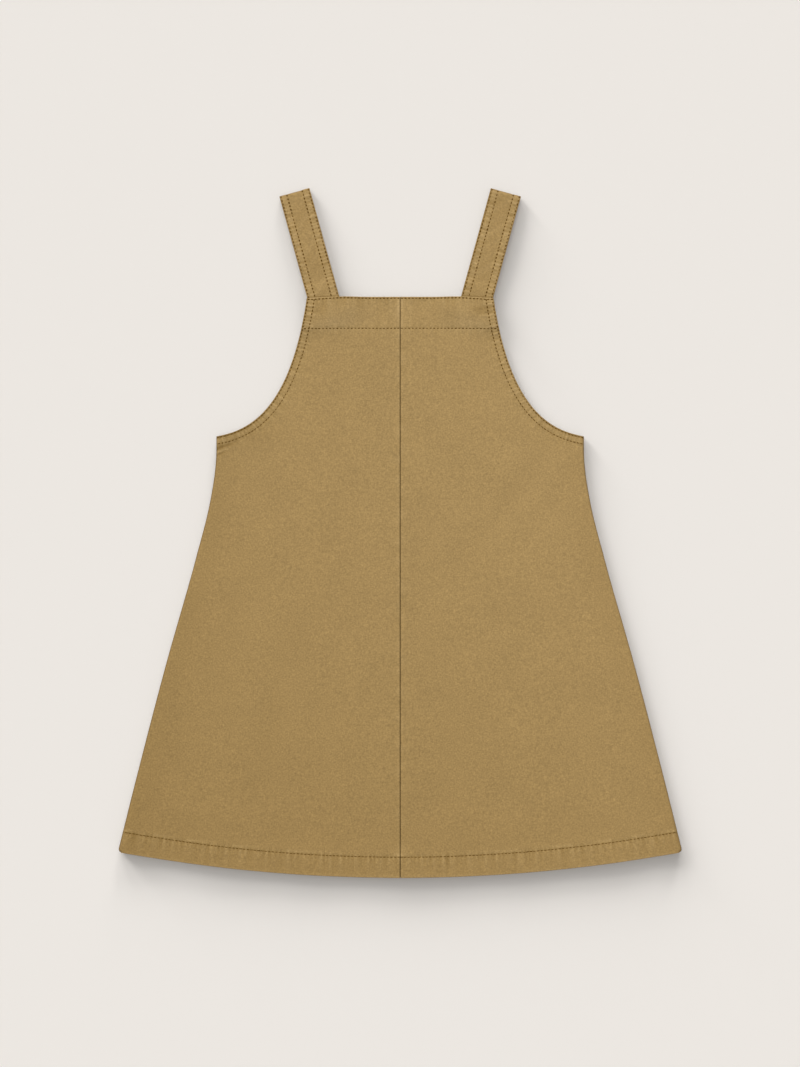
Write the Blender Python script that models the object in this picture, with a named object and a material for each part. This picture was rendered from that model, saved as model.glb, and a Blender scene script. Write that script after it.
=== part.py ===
"""A child's pinafore dress in cotton gabardine, laid flat and face up on a surface.

The shown face is cut in two halves that meet at a centre seam, and the hidden face is one piece.
Each panel is a cloth wall. The shown face's outer skin is a height above the surface, the hidden
face's outer skin rests on it, and at the side seams both curl round to meet each other. A strap
runs up from under each end of the shown face's top edge, folds over at the shoulder and comes back
down on to the hidden face. Every turned edge (top band, armholes, hem) is a thicker stretch of the
same wall, because it is the same cloth folded inwards and stitched down.

Plan points are (x, y) from the top edge's centre, with y negative towards the hem. "Drop" is a
distance below that edge. Left and right are as seen from above with the hem nearest. Lengths are in
metres, and +Z is up from the surface.
"""

import math
from typing import NamedTuple

import bpy
import numpy as np
from mathutils import Vector
from mathutils.geometry import delaunay_2d_cdt

MM = 0.001

# The cut, as it lies
BODY_LENGTH = 471.0 * MM  # top edge to hem, down the centre seam
BIB_HALF_WIDTH = 75.6 * MM
ARMHOLE_DEPTH = 113.2 * MM
CHEST_HALF_WIDTH = 149.0 * MM
HEM_HALF_WIDTH = 228.9 * MM
HEM_SAG = 21.0 * MM  # the hem's centre is this much lower than its corners
HEM_CORNER_RADIUS = 3.2 * MM
TOP_DIP = 1.3 * MM  # how far the top edge's ends are let down, over the straps
TOP_DIP_START = 46.0 * MM  # out from the centre
TOP_DIP_DEPTH = 40.0 * MM  # below the top edge, where it has faded out

# The armhole is one cubic curve from the bib's corner to the underarm
ARMHOLE_TOP_HANDLE = 95.8 * MM
ARMHOLE_TOP_LEAN = math.radians(8.2)  # outwards from straight down
ARMHOLE_LOW_HANDLE = 25.2 * MM
ARMHOLE_LOW_LEAN = math.radians(79.5)

# The side seam is a smooth line through these stations, from the underarm to the hem's corner
SIDE_STATIONS = (
    # drop, half width
    (ARMHOLE_DEPTH, CHEST_HALF_WIDTH),
    (132.0 * MM, 149.3 * MM),
    (164.4 * MM, 153.8 * MM),
    (213.0 * MM, 165.9 * MM),
    (294.0 * MM, 188.8 * MM),
    (391.2 * MM, 214.2 * MM),
    (BODY_LENGTH - HEM_SAG, HEM_HALF_WIDTH),
)

# Turned edges, from the edge to the stitching that holds them
TOP_BAND_DEPTH = 25.5 * MM
ARMHOLE_BAND_DEPTH = 6.2 * MM
HEM_DEPTH = 16.8 * MM
SEAM_ALLOWANCE = 9.0 * MM  # pressed open behind the centre seam

# Cloth
WALL = 1.1 * MM
FACED_WALL = 1.5 * MM  # top band and armholes
HEM_WALL = 1.9 * MM
BAND_RAISE = 0.15 * MM  # how far a turned edge stands proud on the shown face
STEP_LENGTH = 1.6 * MM  # over which a wall changes thickness
SEAM_GAP = 0.3 * MM
EDGE_ROWS = (0.15 * MM, 0.5 * MM)  # points in from an edge, that round it
EDGE_SHARE = 0.5  # of the wall that is left at the edge itself

# How the shown face lies
REST_HEIGHT = 3.7 * MM  # its outer skin above the surface
SIDE_ROLL = 1.1 * MM  # the side seams' bulk lifts the cloth beside them
SIDE_ROLL_WIDTH = 17.0 * MM
SIDE_SEAM_HEIGHT = 2.5 * MM
HEM_LIFT = 1.1 * MM
HEM_LIFT_LENGTH = 75.0 * MM
HEM_WAVE = 0.2 * MM
HEM_WAVE_LENGTHS = (83.0 * MM, 131.0 * MM)
SEAM_LIFT = 0.15 * MM

# Straps
STRAP_WIDTH = 25.4 * MM
STRAP_LENGTH = 88.2 * MM  # top edge to the fold at the shoulder
STRAP_LEAN = math.radians(15.4)
STRAP_BASE_X = 62.4 * MM  # the strap's middle where it crosses the top edge
STRAP_TUCK = 9.0 * MM  # sewn in behind the bib
STRAP_WALL = 1.5 * MM  # along the middle
STRAP_BAND_WALL = 1.8 * MM  # at the edges, where they are turned in and stitched
STRAP_BAND_DEPTH = 6.2 * MM
STRAP_FOLD_GAP = 0.7 * MM  # between the two runs, at the fold
STRAP_LOFT = 0.9 * MM  # how far the upper run rises off the lower one, half way
STRAP_LEVEL = 4.5 * MM  # how far past the top edge a strap stays level
STRAP_RAMP = 11.0 * MM  # over which it then comes down to the surface
STRAP_PLATEAU = 3.0 * MM  # level cloth kept round the tucked end
STRAP_FADE = 21.0 * MM  # over which the bib comes back down beyond that

# Mesh spacing
CURVE_STEP = 5.0 * MM
SIDE_STEP = 11.0 * MM
SEAM_STEP = 14.0 * MM
GRID_STEP = 12.5 * MM
FLAT_GRID_STEP = 24.0 * MM
STRAP_END_STEP = 7.0 * MM
CURL_ROWS = (1.1 * MM, 2.2 * MM)
OUTLINE_STEP = 2.0 * MM  # on the lines that distances are measured to
LINE_TAIL = 12.0 * MM  # how far those lines run on past their ends
FOLD_STEPS = 10
RAMP_STEPS = 9
RUN_STEPS = 10

CLOTH_COLOUR = (0.40, 0.265, 0.11, 1.0)
CLOTH_ROUGHNESS = 0.9

STRAP_RISE = STRAP_LENGTH * math.cos(STRAP_LEAN) + STRAP_WIDTH / 2 * math.sin(STRAP_LEAN)
TOP_EDGE_Y = (BODY_LENGTH - STRAP_RISE) / 2  # centres the whole length on the origin
STACKED_HEIGHT = 2 * FACED_WALL + 2 * STRAP_BAND_WALL + 3 * SEAM_GAP


class Fold(NamedTuple):
    """A soft trough (negative depth) or ridge between two points, in millimetres."""

    from_x: float
    from_drop: float
    to_x: float
    to_drop: float
    width: float
    depth: float


FOLDS = (
    Fold(126, 122, 66, 200, 9, -0.85),
    Fold(150, 150, 112, 214, 13, 0.55),
    Fold(-135, 108, -122, 168, 9, -0.45),
    Fold(-112, 190, -150, 345, 13, -0.60),
    Fold(-80, 245, -104, 395, 13, -0.55),
    Fold(-60, 330, -66, 440, 12, -0.35),
    Fold(42, 330, 46, 425, 12, -0.55),
    Fold(128, 262, 118, 372, 16, 0.40),
    Fold(152, 322, 146, 400, 12, -0.55),
    Fold(190, 350, 200, 425, 12, 0.35),
    Fold(48, 84, 56, 126, 10, -0.30),
    Fold(-182, 431, -40, 444, 9, -0.40),
    Fold(70, 445, 176, 432, 8, -0.35),
    Fold(-40, 120, -70, 205, 16, 0.25),
    Fold(20, 190, 30, 300, 14, -0.25),
    Fold(-165, 300, -190, 420, 11, -0.35),
)
FOLD_END_SHARE = 0.35  # of a fold's depth that is left at its ends


# Outline ------------------------------------------------------------------------------------


def spread_along(line, step):
    """The line again in even steps of about the given length, ends kept."""
    lengths = np.linalg.norm(np.diff(line, axis=0), axis=1)
    along = np.concatenate([[0.0], np.cumsum(lengths)])
    at = np.linspace(0.0, along[-1], max(2, round(along[-1] / step) + 1))
    return np.column_stack([np.interp(at, along, line[:, k]) for k in (0, 1)])


def top_edge(start_x, step):
    """From the centre seam out to the bib's corner."""
    return spread_along(np.array([[start_x, 0.0], [BIB_HALF_WIDTH, 0.0]]), step)


def armhole(step):
    """From the bib's corner to the underarm."""
    top = np.array([BIB_HALF_WIDTH, 0.0])
    low = np.array([CHEST_HALF_WIDTH, -ARMHOLE_DEPTH])
    leave = ARMHOLE_TOP_HANDLE * np.array([math.sin(ARMHOLE_TOP_LEAN), -math.cos(ARMHOLE_TOP_LEAN)])
    arrive = ARMHOLE_LOW_HANDLE * np.array([math.sin(ARMHOLE_LOW_LEAN), -math.cos(ARMHOLE_LOW_LEAN)])
    t = np.linspace(0.0, 1.0, 200)[:, None]
    curve = (
        (1 - t) ** 3 * top
        + 3 * t * (1 - t) ** 2 * (top + leave)
        + 3 * t**2 * (1 - t) * (low - arrive)
        + t**3 * low
    )
    return spread_along(curve, step)


def side_half_width(drop):
    """Half width at a drop: a cubic through the stations with the slopes of their chords."""
    drops, widths = np.array(SIDE_STATIONS).T
    slopes = np.gradient(widths, drops)
    slopes[0] = 0.0
    i = np.clip(np.searchsorted(drops, drop) - 1, 0, len(drops) - 2)
    span = drops[i + 1] - drops[i]
    t = (drop - drops[i]) / span
    return (
        (2 * t**3 - 3 * t**2 + 1) * widths[i]
        + (t**3 - 2 * t**2 + t) * span * slopes[i]
        + (3 * t**2 - 2 * t**3) * widths[i + 1]
        + (t**3 - t**2) * span * slopes[i + 1]
    )


def side_seam(step):
    """From the underarm down to where the hem's corner starts to round."""
    drop = np.linspace(ARMHOLE_DEPTH, BODY_LENGTH - HEM_SAG - HEM_CORNER_RADIUS, 200)
    return spread_along(np.column_stack([side_half_width(drop), -drop]), step)


def hem(end_x, step):
    """From the hem's corner to the centre seam: an arc that is lowest at the centre."""
    x = np.linspace(HEM_HALF_WIDTH - HEM_CORNER_RADIUS, end_x, 200)
    return spread_along(np.column_stack([x, HEM_SAG * (x / HEM_HALF_WIDTH) ** 2 - BODY_LENGTH]), step)


def hem_corner():
    """Two points that round the corner between the side seam and the hem."""
    start, end = side_seam(SIDE_STEP)[-1], hem(0.0, CURVE_STEP)[0]
    corner = np.array([HEM_HALF_WIDTH, HEM_SAG - BODY_LENGTH])
    t = np.array([0.3, 0.7])[:, None]
    return (1 - t) ** 2 * start + 2 * t * (1 - t) * corner + t**2 * end


def right_outline(centre_x):
    """The right half's outline, clockwise from the centre of the top edge to that of the hem."""
    return np.vstack(
        [
            top_edge(centre_x, CURVE_STEP)[:-1],
            armhole(CURVE_STEP)[:-1],
            side_seam(SIDE_STEP),
            hem_corner(),
            hem(centre_x, CURVE_STEP),
        ]
    )


def mirrored(line):
    """The same line on the other side of the centre, run the other way to stay clockwise."""
    return (line * np.array([-1.0, 1.0]))[::-1]


def with_tails(line):
    """The line run straight on past both ends, so that bands beside it reach the next edge."""
    first, last = line[0] - line[1], line[-1] - line[-2]
    start = line[0] + LINE_TAIL * first / np.linalg.norm(first)
    end = line[-1] + LINE_TAIL * last / np.linalg.norm(last)
    return np.vstack([start, line, end])


ARMHOLE_LINE = with_tails(armhole(OUTLINE_STEP))
SIDE_LINE = np.vstack([side_seam(OUTLINE_STEP), hem_corner()])
HEM_LINE = with_tails(hem(0.0, OUTLINE_STEP))


# Distances ----------------------------------------------------------------------------------


def nearest_on(line, points):
    """How far each point is from a line, and the line's own direction where it is nearest."""
    start, step = line[:-1], np.diff(line, axis=0)
    away = points[:, None] - start[None]
    share = np.clip((away * step).sum(2) / (step * step).sum(1), 0.0, 1.0)
    far = np.linalg.norm(away - share[..., None] * step, axis=2)
    nearest = far.argmin(1)
    direction = step[nearest] / np.linalg.norm(step[nearest], axis=1)[:, None]
    return far[np.arange(len(points)), nearest], direction


def distance(points, line):
    return nearest_on(line, points)[0]


def on_right(points):
    """The points folded on to the right half, because both halves have the same edges."""
    return np.column_stack([np.abs(points[:, 0]), points[:, 1]])


def smooth(value):
    """0 below 0 and 1 above 1, with level ends."""
    t = np.clip(value, 0.0, 1.0)
    return t * t * (3 - 2 * t)


def dipped(points):
    """The points with the top edge's ends let down."""
    x, y = on_right(points).T
    share = smooth((x - TOP_DIP_START) / (BIB_HALF_WIDTH - TOP_DIP_START))
    drop = TOP_DIP * share * (1.0 - smooth(-y / TOP_DIP_DEPTH))
    return np.column_stack([points[:, 0], points[:, 1] - drop])


# Heights and thicknesses --------------------------------------------------------------------


def turned_in(depth, from_edge):
    """1 on a turned edge and 0 beyond its stitching."""
    return smooth((depth - from_edge) / STEP_LENGTH + 0.5)


def faced(points):
    """1 on the top band and the armhole bands."""
    arm = turned_in(ARMHOLE_BAND_DEPTH, distance(on_right(points), ARMHOLE_LINE))
    return np.maximum(turned_in(TOP_BAND_DEPTH, -points[:, 1]), arm)


def hemmed(points):
    """1 on the hem band."""
    return turned_in(HEM_DEPTH, distance(on_right(points), HEM_LINE))


def wall_thickness(points):
    return WALL + (FACED_WALL - WALL) * faced(points) + (HEM_WALL - WALL) * hemmed(points)


def fold_height(points):
    """The sum of the soft troughs and ridges."""
    total = np.zeros(len(points))
    for fold in FOLDS:
        start = MM * np.array([fold.from_x, -fold.from_drop])
        run = MM * np.array([fold.to_x, -fold.to_drop]) - start
        share = np.clip((points - start) @ run / (run @ run), 0.0, 1.0)
        across = np.linalg.norm(points - start - share[:, None] * run, axis=1)
        along = FOLD_END_SHARE + (1.0 - FOLD_END_SHARE) * np.sin(math.pi * share)
        total += MM * fold.depth * along * np.exp(-((across / (MM * fold.width)) ** 2))
    return total


def strap_lift(points):
    """1 over a tucked strap end, falling to 0 beyond it."""
    from_base = on_right(points) - np.array([STRAP_BASE_X, 0.0])
    down = -from_base @ np.array([math.sin(STRAP_LEAN), math.cos(STRAP_LEAN)])
    across = from_base @ np.array([math.cos(STRAP_LEAN), -math.sin(STRAP_LEAN)])
    past_side = np.maximum(np.abs(across) - STRAP_WIDTH / 2 - STRAP_PLATEAU, 0.0)
    past_end = np.maximum(down - STRAP_TUCK - STRAP_PLATEAU, 0.0)
    return 1.0 - smooth(np.hypot(past_side, past_end) / STRAP_FADE)


def skin_height(points):
    """The shown face's outer skin above the surface, before it curls down at the side seams."""
    near_side = np.exp(-((distance(on_right(points), SIDE_LINE) / SIDE_ROLL_WIDTH) ** 2))
    near_hem = 1.0 - smooth(distance(on_right(points), HEM_LINE) / HEM_LIFT_LENGTH)
    near_seam = 1.0 - smooth(np.abs(points[:, 0]) / SEAM_ALLOWANCE - 1.0)
    wave = sum(np.sin(2 * math.pi * points[:, 0] / length + 0.6) for length in HEM_WAVE_LENGTHS)
    height = (
        REST_HEIGHT
        + SIDE_ROLL * near_side
        + HEM_LIFT * near_hem
        + HEM_WAVE * near_hem * wave * (1.0 - near_side)
        + SEAM_LIFT * near_seam
        + fold_height(points)
    )
    lift = strap_lift(points)
    raised = BAND_RAISE * np.maximum(faced(points), hemmed(points))
    return height * (1.0 - lift) + STACKED_HEIGHT * lift + raised


# Panels -------------------------------------------------------------------------------------


def inset_loop(loop, depth):
    """A closed clockwise loop moved inwards, with mitred corners."""

    def inward(start, end):
        run = (end - start) / np.linalg.norm(end - start, axis=1)[:, None]
        return np.column_stack([run[:, 1], -run[:, 0]])

    arriving = inward(np.roll(loop, 1, axis=0), loop)
    leaving = inward(loop, np.roll(loop, -1, axis=0))
    middle = arriving + leaving
    middle /= np.linalg.norm(middle, axis=1)[:, None]
    return loop + middle * (depth / (middle * arriving).sum(1))[:, None]


def inset_line(line, depth):
    """An open line moved inwards, where the outline runs clockwise."""
    run = np.gradient(line, axis=0)
    run /= np.linalg.norm(run, axis=1)[:, None]
    return line + depth * np.column_stack([run[:, 1], -run[:, 0]])


def round_strap_end(margin):
    """A line round the right strap's tucked end, a margin outside it."""
    half, end = STRAP_WIDTH / 2 + margin, STRAP_TUCK + margin
    across = np.array([-half, -half, half, half])[:, None]
    down = np.array([0.0, end, end, 0.0])[:, None]
    lean, base = STRAP_LEAN, np.array([STRAP_BASE_X, 0.0])
    corners = base + across * [math.cos(lean), -math.sin(lean)] - down * [math.sin(lean), math.cos(lean)]
    return spread_along(corners, STRAP_END_STEP)


def feature_lines():
    """Lines that the right half's mesh follows: the curl at the side and each change of wall."""
    lines = [inset_line(side_seam(SIDE_STEP), depth) for depth in CURL_ROWS]
    for shift in (-STEP_LENGTH / 2, STEP_LENGTH / 2):
        lines.append(inset_line(with_tails(armhole(CURVE_STEP)), ARMHOLE_BAND_DEPTH + shift))
        lines.append(inset_line(with_tails(hem(0.0, CURVE_STEP)), HEM_DEPTH + shift))
        band = top_edge(0.0, CURVE_STEP) * np.array([2.0, 1.0])
        lines.append(band - np.array([0.0, TOP_BAND_DEPTH + shift]))
    for margin in (STRAP_PLATEAU / 2, STRAP_PLATEAU + STRAP_FADE / 3, STRAP_PLATEAU + STRAP_FADE * 2 / 3):
        lines.append(round_strap_end(margin))
    return lines


def inside(points, loop):
    """Whether each point lies within a closed loop."""
    x, y = points.T
    odd = np.zeros(len(points), bool)
    for (x0, y0), (x1, y1) in zip(loop, np.roll(loop, -1, axis=0), strict=True):
        if y0 != y1:
            odd ^= ((y0 > y) != (y1 > y)) & (x < (x1 - x0) * (y - y0) / (y1 - y0) + x0)
    return odd


def staggered_grid(loop, step):
    """Points in offset rows over a loop's inside."""
    low, high = loop.min(0), loop.max(0)
    x, y = np.meshgrid(
        np.arange(low[0] + step / 2, high[0], step), np.arange(low[1] + step / 2, high[1], step)
    )
    x = x + np.where(np.arange(len(x)) % 2, step / 2, 0.0)[:, None]
    grid = np.column_stack([x.ravel(), y.ravel()])
    return grid[inside(grid, loop)]


def triangulated(loop, lines, grid_step):
    """Plan points and triangles that fill a loop and follow its edge rows and the given lines."""
    closed = np.vstack([loop, loop[:1]])
    clearance = 1.9 * EDGE_ROWS[-1]
    rings = [loop] + [inset_loop(loop, depth) for depth in EDGE_ROWS]
    rows = [line[inside(line, loop) & (distance(line, closed) > clearance)] for line in lines]
    rows = [row for row in rows if len(row) > 1]
    points, edges = [], []
    for row in rings + rows:
        first = len(points)
        points += list(row)
        edges += [(first + i, first + i + 1) for i in range(len(row) - 1)]
    first = 0
    for ring in rings:
        edges.append((first + len(ring) - 1, first))
        first += len(ring)
    grid = staggered_grid(loop, grid_step)
    for line in [closed, *rows]:
        grid = grid[distance(grid, line) > 0.45 * grid_step]
    flat = [Vector((float(x), float(y))) for x, y in points + list(grid)]
    made = delaunay_2d_cdt(flat, edges, [list(range(len(loop)))], 1, 1e-7)
    return np.array([tuple(point) for point in made[0]]), [tuple(face) for face in made[2]]


def panel_mesh(name, loop, lines, grid_step, shown):
    """A cloth wall over a loop, whose outer skin is up if shown and rests on the surface if not."""
    plan, triangles = triangulated(loop, lines, grid_step)
    wall = wall_thickness(plan)
    to_side, run = nearest_on(SIDE_LINE, on_right(plan))
    outward = np.column_stack([-run[:, 1] * np.sign(plan[:, 0]), run[:, 0]])
    up = 1.0 if shown else -1.0
    level = skin_height(plan) if shown else np.zeros(len(plan))
    seam = SIDE_SEAM_HEIGHT + up * SEAM_GAP / 2
    radius = up * (level - seam)
    sine = np.clip(1.0 - to_side / radius, 0.0, 1.0)
    cosine = np.sqrt(1.0 - sine**2)
    skin = np.column_stack([dipped(plan), level - up * radius * (1.0 - cosine)])
    normal = np.column_stack([outward * sine[:, None], up * cosine])

    from_edge = distance(plan, np.vstack([loop, loop[:1]]))
    rounding = (1.0 - EDGE_SHARE) / 2 * wall * (1.0 - smooth(from_edge / EDGE_ROWS[-1]))
    rounding[sine > 0.5] = 0.0
    outer = skin - normal * rounding[:, None]
    inner = skin - normal * (wall - rounding)[:, None]

    count = len(plan)
    directed = {(face[i], face[(i + 1) % 3]) for face in triangles for i in range(3)}
    faces = triangles + [tuple(count + i for i in reversed(face)) for face in triangles]
    faces += [(b, a, count + a, count + b) for a, b in sorted(directed) if (b, a) not in directed]
    if not shown:
        faces = [tuple(reversed(face)) for face in faces]
    return wall_mesh(name, np.vstack([outer, inner]), faces)


def wall_mesh(name, points, faces):
    """A mesh from points and faces, smooth but for its creases."""
    mesh = bpy.data.meshes.new(name)
    mesh.from_pydata([tuple(map(float, point)) for point in points], [], faces)
    mesh.shade_smooth()
    mesh.set_sharp_from_angle(angle=math.radians(50))
    return mesh


def front_right_mesh():
    """The shown face's right half, half a seam gap from the centre."""
    edge = right_outline(SEAM_GAP / 2)
    centre = spread_along(np.array([edge[-1], edge[0]]), SEAM_STEP)[1:-1]
    return panel_mesh("front_right", np.vstack([edge, centre]), feature_lines(), GRID_STEP, True)


def front_left_mesh():
    """The shown face's left half: the right one's cut, turned over."""
    edge = mirrored(right_outline(SEAM_GAP / 2))
    centre = spread_along(np.array([edge[-1], edge[0]]), SEAM_STEP)[1:-1]
    lines = [mirrored(line) for line in feature_lines()]
    return panel_mesh("front_left", np.vstack([edge, centre]), lines, GRID_STEP, True)


def back_mesh():
    """The hidden face, in one piece."""
    edge = right_outline(0.0)
    loop = np.vstack([edge[:-1], mirrored(edge)[:-1]])
    lines = feature_lines() + [mirrored(line) for line in feature_lines()]
    return panel_mesh("back", loop, lines, FLAT_GRID_STEP, False)


# Straps -------------------------------------------------------------------------------------


def strap_ring():
    """The strap's cross-section as (across, out), once round."""
    edge = STRAP_WIDTH / 2
    stitched = edge - STRAP_BAND_DEPTH
    right = [
        (0.0, STRAP_WALL / 2),
        (stitched - STEP_LENGTH / 2, STRAP_WALL / 2),
        (stitched + STEP_LENGTH / 2, STRAP_BAND_WALL / 2),
        (edge - EDGE_ROWS[-1], STRAP_BAND_WALL / 2),
        (edge, EDGE_SHARE * STRAP_BAND_WALL / 2),
    ]
    outer = [(-across, out) for across, out in reversed(right)] + right[1:]
    return outer + [(across, -out) for across, out in reversed(outer)]


def strap_path():
    """The strap's middle as (along, height): the lower run out, round the fold, the upper back."""
    tucked_height = FACED_WALL + SEAM_GAP + STRAP_BAND_WALL / 2
    resting_height = STRAP_BAND_WALL / 2
    tucked_apart = STRAP_BAND_WALL + SEAM_GAP
    fold_radius = (STRAP_BAND_WALL + STRAP_FOLD_GAP) / 2
    fold_at = STRAP_LENGTH - fold_radius - STRAP_BAND_WALL / 2

    level_end = STRAP_LEVEL + STRAP_RAMP
    ramp = np.linspace(STRAP_LEVEL, level_end, RAMP_STEPS)
    run = np.linspace(level_end, fold_at, RUN_STEPS)[1:]
    along = np.concatenate([[-STRAP_TUCK, -STRAP_TUCK / 2, 0.0], ramp, run])
    landed = smooth((along - STRAP_LEVEL) / STRAP_RAMP)
    loft = STRAP_LOFT * np.sin(math.pi * np.clip(along / fold_at, 0.0, 1.0)) ** 2
    lower = tucked_height + (resting_height - tucked_height) * landed
    upper = lower + tucked_apart + (2 * fold_radius - tucked_apart) * landed + loft

    turn = np.linspace(-math.pi / 2, math.pi / 2, FOLD_STEPS + 1)[1:-1]
    round_fold = np.column_stack([np.cos(turn), 1.0 + np.sin(turn)]) * fold_radius
    round_fold += [fold_at, resting_height]
    return np.vstack(
        [np.column_stack([along, lower]), round_fold, np.column_stack([along, upper])[::-1]]
    )


def strap_mesh():
    """One section carried along the folded path, running along +Y from the top edge."""
    path, ring = strap_path(), strap_ring()
    run = np.gradient(path, axis=0)
    run /= np.linalg.norm(run, axis=1)[:, None]
    points = [
        (across, along + climb * out, height - forward * out)
        for (along, height), (forward, climb) in zip(path, run, strict=True)
        for across, out in ring
    ]
    size, last = len(ring), (len(path) - 1) * len(ring)
    faces = [tuple(range(size)), tuple(last + i for i in reversed(range(size)))]
    for first in range(0, last, size):
        for i in range(size):
            j = (i + 1) % size
            faces.append((first + i, first + size + i, first + size + j, first + j))
    return wall_mesh("strap", points, faces)


# The dress ----------------------------------------------------------------------------------


def cloth_material(name):
    """Matt dyed cotton."""
    material = bpy.data.materials.new(f"{name}_gabardine")
    material.use_nodes = True
    shader = material.node_tree.nodes["Principled BSDF"]
    shader.inputs["Base Color"].default_value = CLOTH_COLOUR
    shader.inputs["Roughness"].default_value = CLOTH_ROUGHNESS
    shader.inputs["Metallic"].default_value = 0.0
    return material


def add_piece(name, mesh, dress, x=0.0, turn=0.0):
    """A named piece placed from the top edge's centre, with its own material."""
    piece = bpy.data.objects.new(name, mesh)
    bpy.context.scene.collection.objects.link(piece)
    if not mesh.materials:
        mesh.materials.append(None)
    piece.material_slots[0].link = "OBJECT"
    piece.material_slots[0].material = cloth_material(name)
    piece.parent = dress
    piece.location.x = x
    piece.rotation_euler.z = turn


def clear_scene():
    for old in list(bpy.data.objects):
        bpy.data.objects.remove(old)


def main():
    clear_scene()
    dress = bpy.data.objects.new("pinafore_dress", None)
    bpy.context.scene.collection.objects.link(dress)
    dress.location.y = TOP_EDGE_Y
    add_piece("front_left", front_left_mesh(), dress)
    add_piece("front_right", front_right_mesh(), dress)
    add_piece("back", back_mesh(), dress)
    strap = strap_mesh()
    add_piece("strap_left", strap, dress, x=-STRAP_BASE_X, turn=STRAP_LEAN)
    add_piece("strap_right", strap, dress, x=STRAP_BASE_X, turn=-STRAP_LEAN)


main()
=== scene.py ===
"""The looks of a child's pinafore dress in gabardine that lies flat and face up.

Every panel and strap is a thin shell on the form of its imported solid, with its folds, puckers and
grooves in the mesh, and every stitch is a piece of thread in its groove. Plan points are (x, y)
from the middle of the top edge, with y negative towards the hem. Lengths are in metres.
"""

import math
from typing import NamedTuple

import bpy
import numpy as np
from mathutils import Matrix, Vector
from mathutils.geometry import delaunay_2d_cdt


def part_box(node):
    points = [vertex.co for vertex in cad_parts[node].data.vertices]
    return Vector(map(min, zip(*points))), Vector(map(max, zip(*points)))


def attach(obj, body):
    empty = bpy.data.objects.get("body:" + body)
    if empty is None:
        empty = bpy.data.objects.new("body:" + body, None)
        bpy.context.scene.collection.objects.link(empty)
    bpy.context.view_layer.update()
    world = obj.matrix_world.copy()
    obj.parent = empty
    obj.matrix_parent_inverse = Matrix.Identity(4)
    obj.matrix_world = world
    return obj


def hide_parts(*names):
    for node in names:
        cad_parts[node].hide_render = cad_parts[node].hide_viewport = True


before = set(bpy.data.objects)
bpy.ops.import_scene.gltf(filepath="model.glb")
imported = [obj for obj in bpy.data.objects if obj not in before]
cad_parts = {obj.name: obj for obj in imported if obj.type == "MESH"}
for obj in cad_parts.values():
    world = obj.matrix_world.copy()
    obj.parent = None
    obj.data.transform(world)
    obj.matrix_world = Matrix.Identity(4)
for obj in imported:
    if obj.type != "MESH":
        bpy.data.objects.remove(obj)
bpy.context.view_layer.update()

MM = 0.001
BODY = "root"

# The cut, as the solids have it
TOP_EDGE_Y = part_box("back")[1].y
BODY_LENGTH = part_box("back")[1].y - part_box("back")[0].y
BIB_HALF_WIDTH = 75.6 * MM
ARMHOLE_DEPTH = 113.2 * MM
CHEST_HALF_WIDTH = 149.0 * MM
HEM_HALF_WIDTH = 228.9 * MM
HEM_SAG = 21.0 * MM
HEM_CORNER_RADIUS = 3.2 * MM
TOP_DIP = 1.3 * MM
TOP_DIP_START = 46.0 * MM
TOP_DIP_DEPTH = 40.0 * MM
ARMHOLE_TOP_HANDLE = 95.8 * MM
ARMHOLE_TOP_LEAN = math.radians(8.2)
ARMHOLE_LOW_HANDLE = 25.2 * MM
ARMHOLE_LOW_LEAN = math.radians(79.5)
SIDE_STATIONS = (
    # drop, half width
    (ARMHOLE_DEPTH, CHEST_HALF_WIDTH),
    (132.0 * MM, 149.3 * MM),
    (164.4 * MM, 153.8 * MM),
    (213.0 * MM, 165.9 * MM),
    (294.0 * MM, 188.8 * MM),
    (391.2 * MM, 214.2 * MM),
    (BODY_LENGTH - HEM_SAG, HEM_HALF_WIDTH),
)
SEAM_GAP = 0.3 * MM
SEAM_ALLOWANCE = 9.0 * MM
CURVE_POINTS = 200  # that each curve is worked out from

# Stitching: how far in from its edge each line runs
STITCH_PITCH = 2.9 * MM
EDGE_LINE = 1.15 * MM
ARMHOLE_LINE_2 = 6.2 * MM
FACING_LINE = 25.5 * MM
HEM_LINE = 16.8 * MM

# Cloth
WALL = 0.9 * MM
FACED_WALL = 1.2 * MM
HEM_WALL = 1.5 * MM
BAND_RAISE = 0.05 * MM
STEP_LENGTH = 1.6 * MM
EDGE_ROUND = 0.35 * MM
EDGE_SHARE = 0.6
ROUNDED_ABOVE = 0.87  # an edge is rounded only where its skin is this level
INNER_TONE = 0.3  # the inner side's share of the outer side's tone
SHARP_ANGLE = math.radians(60)

# How the shown face lies
REST_HEIGHT = 3.7 * MM
SIDE_ROLL = 1.1 * MM
SIDE_ROLL_WIDTH = 17.0 * MM
SIDE_SEAM_HEIGHT = 2.5 * MM
HEM_LIFT = 1.1 * MM
HEM_LIFT_LENGTH = 75.0 * MM
HEM_WAVE = 0.2 * MM
HEM_WAVE_LENGTHS = (83.0 * MM, 131.0 * MM)
SEAM_LIFT = 0.15 * MM

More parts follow.
